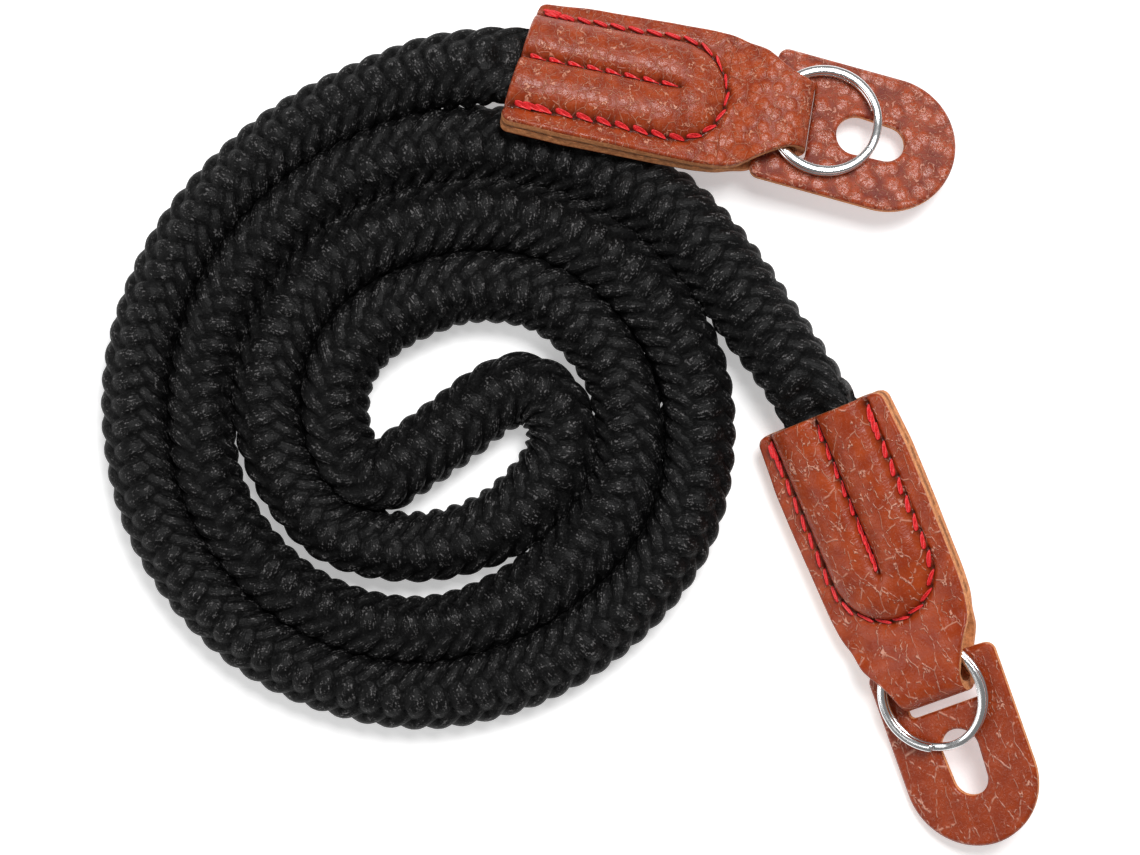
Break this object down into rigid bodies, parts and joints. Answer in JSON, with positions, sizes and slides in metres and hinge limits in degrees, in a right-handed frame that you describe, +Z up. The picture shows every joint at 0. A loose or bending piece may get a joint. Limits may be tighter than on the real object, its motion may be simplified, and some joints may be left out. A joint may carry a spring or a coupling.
{
  "type": "coiled rope camera strap",
  "caption": "Camera strap of thick black braided rope, wound flat in a double spiral, its ends sewn into tan leather tabs with split rings and leather guards.",
  "frame": {"origin": "on the surface that the strap lies on, under the middle of its bounding box", "axes": "+Z up from that surface, +Y towards the upper edge of the picture, +X towards its right edge"},
  "size_m": [0.1602, 0.1452, 0.0174],
  "materials": {
    "rope": "matte black braided rope",
    "leather": "tan pebbled leather with raw edges",
    "guard_leather": "darker tan pebbled leather",
    "ring_metal": "bright nickel plate",
    "thread": "red waxed thread"
  },
  "bodies": {
    "strap": {"braided_rope": "rope", "leather_tab_a": "leather", "leather_tab_b": "leather", "leather_guard_a": "guard_leather", "leather_guard_b": "guard_leather"},
    "ring_a": {"split_ring_a": "ring_metal"},
    "ring_b": {"split_ring_b": "ring_metal"}
  },
  "joints": [
    {"name": "ring_a_spin", "type": "hinge", "parent": "strap", "child": "ring_a", "pos_m": [0.04373, 0.05208, 0.00746], "axis": [0.0778, 0.2342, 0.9691], "continuous": true},
    {"name": "ring_b_spin", "type": "hinge", "parent": "strap", "child": "ring_b", "pos_m": [0.06198, -0.04655, 0.00912], "axis": [-0.4188, -0.1752, 0.891], "continuous": true}
  ]
}
